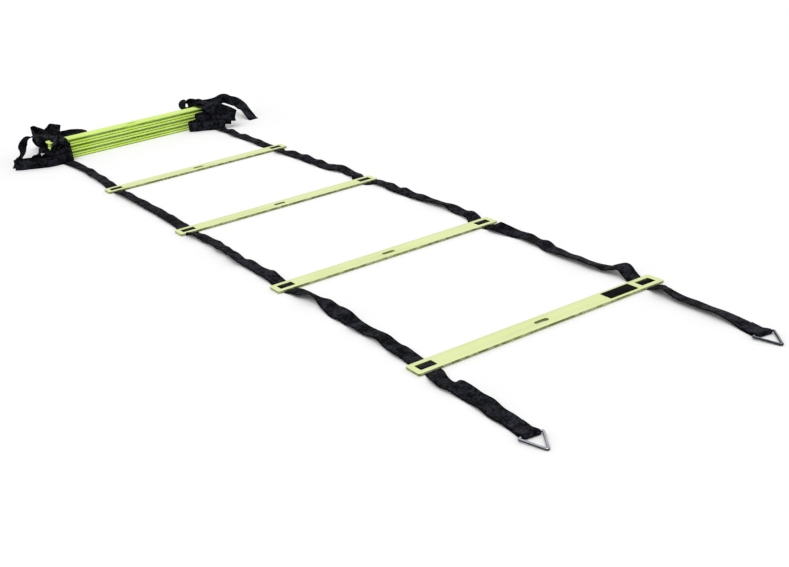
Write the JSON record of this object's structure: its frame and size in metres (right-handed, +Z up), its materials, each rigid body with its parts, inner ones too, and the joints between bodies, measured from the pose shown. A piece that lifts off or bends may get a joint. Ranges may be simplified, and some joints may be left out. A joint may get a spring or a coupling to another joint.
{
  "type": "agility ladder",
  "caption": "Flat-rung agility ladder: slats threaded on two webbing straps, part laid out and part folded into a stack, with triangular rings on the near strap ends.",
  "frame": {"origin": "on the floor, under the middle of the box around the ladder as it lies: halfway between the ring tips and the back of the folded straps", "axes": "+X along the rungs to the right, seen from the ring end; +Y along the ladder, from the ring end to the stacked end; +Z up from the floor"},
  "size_m": [0.6192, 2.1018, 0.0586],
  "materials": {
    "slat": "satin moulded plastic",
    "strap": "woven webbing",
    "label": "matt, bare",
    "ring_steel": "plated wire"
  },
  "bodies": {
    "stack_base": {"rung_05": "slat", "strap_left_rung_05": "strap", "strap_right_rung_05": "strap", "strap_left_bay_04_far": "strap", "strap_right_bay_04_far": "strap"},
    "rung_06": {"rung_06": "slat", "strap_left_bay_05": "strap", "strap_right_bay_05": "strap"},
    "rung_07": {"rung_07": "slat", "strap_left_bay_06": "strap", "strap_right_bay_06": "strap"},
    "rung_08": {"rung_08": "slat", "strap_left_bay_07": "strap", "strap_right_bay_07": "strap"},
    "rung_09": {"rung_09": "slat", "strap_left_bay_08": "strap", "strap_right_bay_08": "strap"},
    "rung_10": {"rung_10": "slat", "strap_left_bay_09": "strap", "strap_right_bay_09": "strap"},
    "rung_11": {"rung_11": "slat", "strap_left_bay_10": "strap", "strap_right_bay_10": "strap", "far_tail_left_root": "strap", "far_tail_right_root": "strap"},
    "far_tail_left_end": {"far_tail_left_end": "strap"},
    "far_tail_right_end": {"far_tail_right_end": "strap"},
    "bay_04_near": {"strap_left_bay_04_near": "strap", "strap_right_bay_04_near": "strap"},
    "rung_04": {"rung_04": "slat", "strap_left_rung_04": "strap", "strap_right_rung_04": "strap", "strap_left_bay_03_far": "strap", "strap_right_bay_03_far": "strap"},
    "bay_03_near": {"strap_left_bay_03_near": "strap", "strap_right_bay_03_near": "strap"},
    "rung_03": {"rung_03": "slat", "strap_left_rung_03": "strap", "strap_right_rung_03": "strap", "strap_left_bay_02_far": "strap", "strap_right_bay_02_far": "strap"},
    "bay_02_near": {"strap_left_bay_02_near": "strap", "strap_right_bay_02_near": "strap"},
    "rung_02": {"rung_02": "slat", "strap_left_rung_02": "strap", "strap_right_rung_02": "strap", "strap_left_bay_01_far": "strap", "strap_right_bay_01_far": "strap"},
    "bay_01_near": {"strap_left_bay_01_near": "strap", "strap_right_bay_01_near": "strap"},
    "rung_01": {"rung_01": "slat", "strap_left_rung_01": "strap", "strap_right_rung_01": "strap", "label": "label"},
    "near_tail_left": {"near_tail_left": "strap"},
    "ring_left": {"ring_left": "ring_steel"},
    "near_tail_right": {"near_tail_right": "strap"},
    "ring_right": {"ring_right": "ring_steel"}
  },
  "joints": [
    {"name": "rung_06_lift", "type": "slide", "parent": "stack_base", "child": "rung_06", "axis": [0, 0, 1], "range_m": [0, 0.03], "deforming": ["strap_left_bay_05", "strap_right_bay_05"]},
    {"name": "rung_07_lift", "type": "slide", "parent": "rung_06", "child": "rung_07", "axis": [0, 0, 1], "range_m": [0, 0.03], "deforming": ["strap_left_bay_06", "strap_right_bay_06"]},
    {"name": "rung_08_lift", "type": "slide", "parent": "rung_07", "child": "rung_08", "axis": [0, 0, 1], "range_m": [0, 0.03], "deforming": ["strap_left_bay_07", "strap_right_bay_07"]},
    {"name": "rung_09_lift", "type": "slide", "parent": "rung_08", "child": "rung_09", "axis": [0, 0, 1], "range_m": [0, 0.03], "deforming": ["strap_left_bay_08", "strap_right_bay_08"]},
    {"name": "rung_10_lift", "type": "slide", "parent": "rung_09", "child": "rung_10", "axis": [0, 0, 1], "range_m": [0, 0.03], "deforming": ["strap_left_bay_09", "strap_right_bay_09"]},
    {"name": "rung_11_lift", "type": "slide", "parent": "rung_10", "child": "rung_11", "axis": [0, 0, 1], "range_m": [0, 0.03], "deforming": ["strap_left_bay_10", "strap_right_bay_10"]},
    {"name": "far_tail_left_lift", "type": "hinge", "parent": "rung_11", "child": "far_tail_left_end", "pos_m": [-0.227, 0.90772, 0.0483], "axis": [0, 1, 0], "range_deg": [0, 75]},
    {"name": "far_tail_right_lift", "type": "hinge", "parent": "rung_11", "child": "far_tail_right_end", "pos_m": [0.221, 0.90872, 0.0543], "axis": [0, -1, 0], "range_deg": [0, 75]},
    {"name": "bay_04_crease", "type": "hinge", "parent": "stack_base", "child": "bay_04_near", "pos_m": [0, 0.59005, 0.0015], "axis": [-1, 0, 0], "range_deg": [0, 160]},
    {"name": "bay_04_rung", "type": "hinge", "parent": "bay_04_near", "child": "rung_04", "pos_m": [0, 0.46085, 0], "axis": [1, 0, 0], "range_deg": [0, 160]},
    {"name": "bay_03_crease", "type": "hinge", "parent": "rung_04", "child": "bay_03_near", "pos_m": [0, 0.24055, 0.0015], "axis": [-1, 0, 0], "range_deg": [0, 160]},
    {"name": "bay_03_rung", "type": "hinge", "parent": "bay_03_near", "child": "rung_03", "pos_m": [0, 0.05485, 0], "axis": [1, 0, 0], "range_deg": [0, 160]},
    {"name": "bay_02_crease", "type": "hinge", "parent": "rung_03", "child": "bay_02_near", "pos_m": [0, -0.16545, 0.0015], "axis": [-1, 0, 0], "range_deg": [0, 160]},
    {"name": "bay_02_rung", "type": "hinge", "parent": "bay_02_near", "child": "rung_02", "pos_m": [0, -0.35115, 0], "axis": [1, 0, 0], "range_deg": [0, 160]},
    {"name": "bay_01_crease", "type": "hinge", "parent": "rung_02", "child": "bay_01_near", "pos_m": [0, -0.57145, 0.0015], "axis": [-1, 0, 0], "range_deg": [0, 160]},
    {"name": "bay_01_rung", "type": "hinge", "parent": "bay_01_near", "child": "rung_01", "pos_m": [0, -0.75715, 0], "axis": [1, 0, 0], "range_deg": [0, 160]},
    {"name": "near_tail_left_fold", "type": "hinge", "parent": "rung_01", "child": "near_tail_left", "pos_m": [0, -0.79175, 0.0015], "axis": [-1, 0, 0], "range_deg": [0, 80]},
    {"name": "ring_left_swing", "type": "hinge", "parent": "near_tail_left", "child": "ring_left", "pos_m": [-0.206, -1.01175, 0.0036], "axis": [-0.9931, 0.1174, 0], "range_deg": [-120, 140]},
    {"name": "near_tail_right_fold", "type": "hinge", "parent": "rung_01", "child": "near_tail_right", "pos_m": [0, -0.79175, 0.0015], "axis": [-1, 0, 0], "range_deg": [0, 80]},
    {"name": "ring_right_swing", "type": "hinge", "parent": "near_tail_right", "child": "ring_right", "pos_m": [0.174, -1.01175, 0.0036], "axis": [-0.9854, 0.1702, 0], "range_deg": [-120, 140]}
  ]
}
